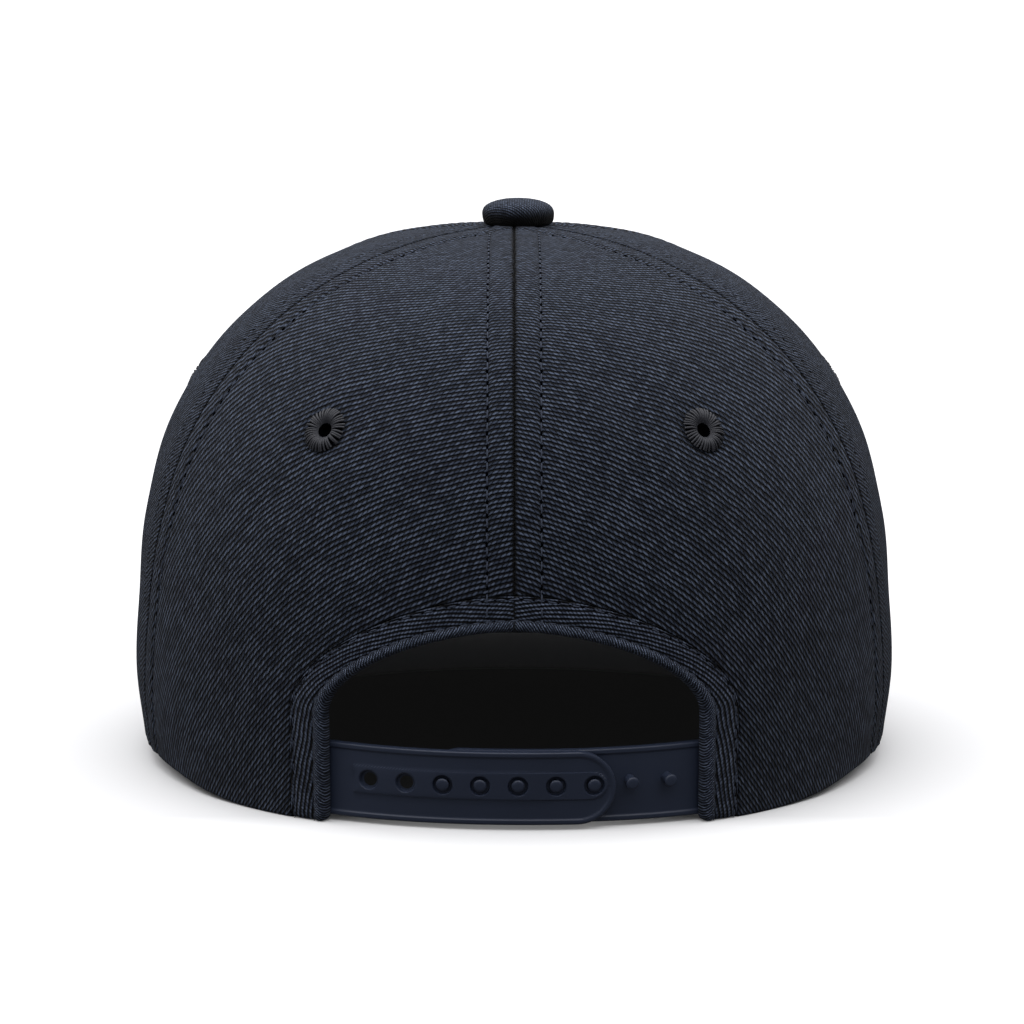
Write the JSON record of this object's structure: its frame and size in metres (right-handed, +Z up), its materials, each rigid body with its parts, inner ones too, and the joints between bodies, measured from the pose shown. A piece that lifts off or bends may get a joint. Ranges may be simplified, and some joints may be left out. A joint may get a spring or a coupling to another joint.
{
  "type": "snapback cap",
  "caption": "Hollow six-panel cloth cap with a flat peak, eyelets, a top button and a snap strap across an arched opening at the back",
  "frame": {"origin": "middle of the base of the bounding box, on the surface that the cap rests on", "axes": "+Y towards the front edge of the peak, -Y towards the snap strap, +X to the right as seen from behind, +Z up through the top button"},
  "size_m": [0.1774, 0.269, 0.1283],
  "materials": {
    "twill": "dark navy twill with fine diagonal ridges",
    "thread": "charcoal satin thread",
    "lining": "black sweatband cloth",
    "button_cloth": "dark navy cloth drawn over a button",
    "strap_plastic": "dark navy moulded plastic, satin"
  },
  "bodies": {
    "root": {"panel_back_left": "twill", "eyelet_back_left": "thread", "panel_side_left": "twill", "eyelet_side_left": "thread", "panel_front_left": "twill", "eyelet_front_left": "thread", "arch_hem_left": "twill", "panel_back_right": "twill", "eyelet_back_right": "thread", "panel_side_right": "twill", "eyelet_side_right": "thread", "panel_front_right": "twill", "eyelet_front_right": "thread", "arch_hem_right": "twill", "sweatband": "lining", "peak_upper": "twill", "peak_under": "twill", "top_button": "button_cloth", "strap_holes": "strap_plastic", "strap_studs": "strap_plastic"}
  },
  "joints": []
}
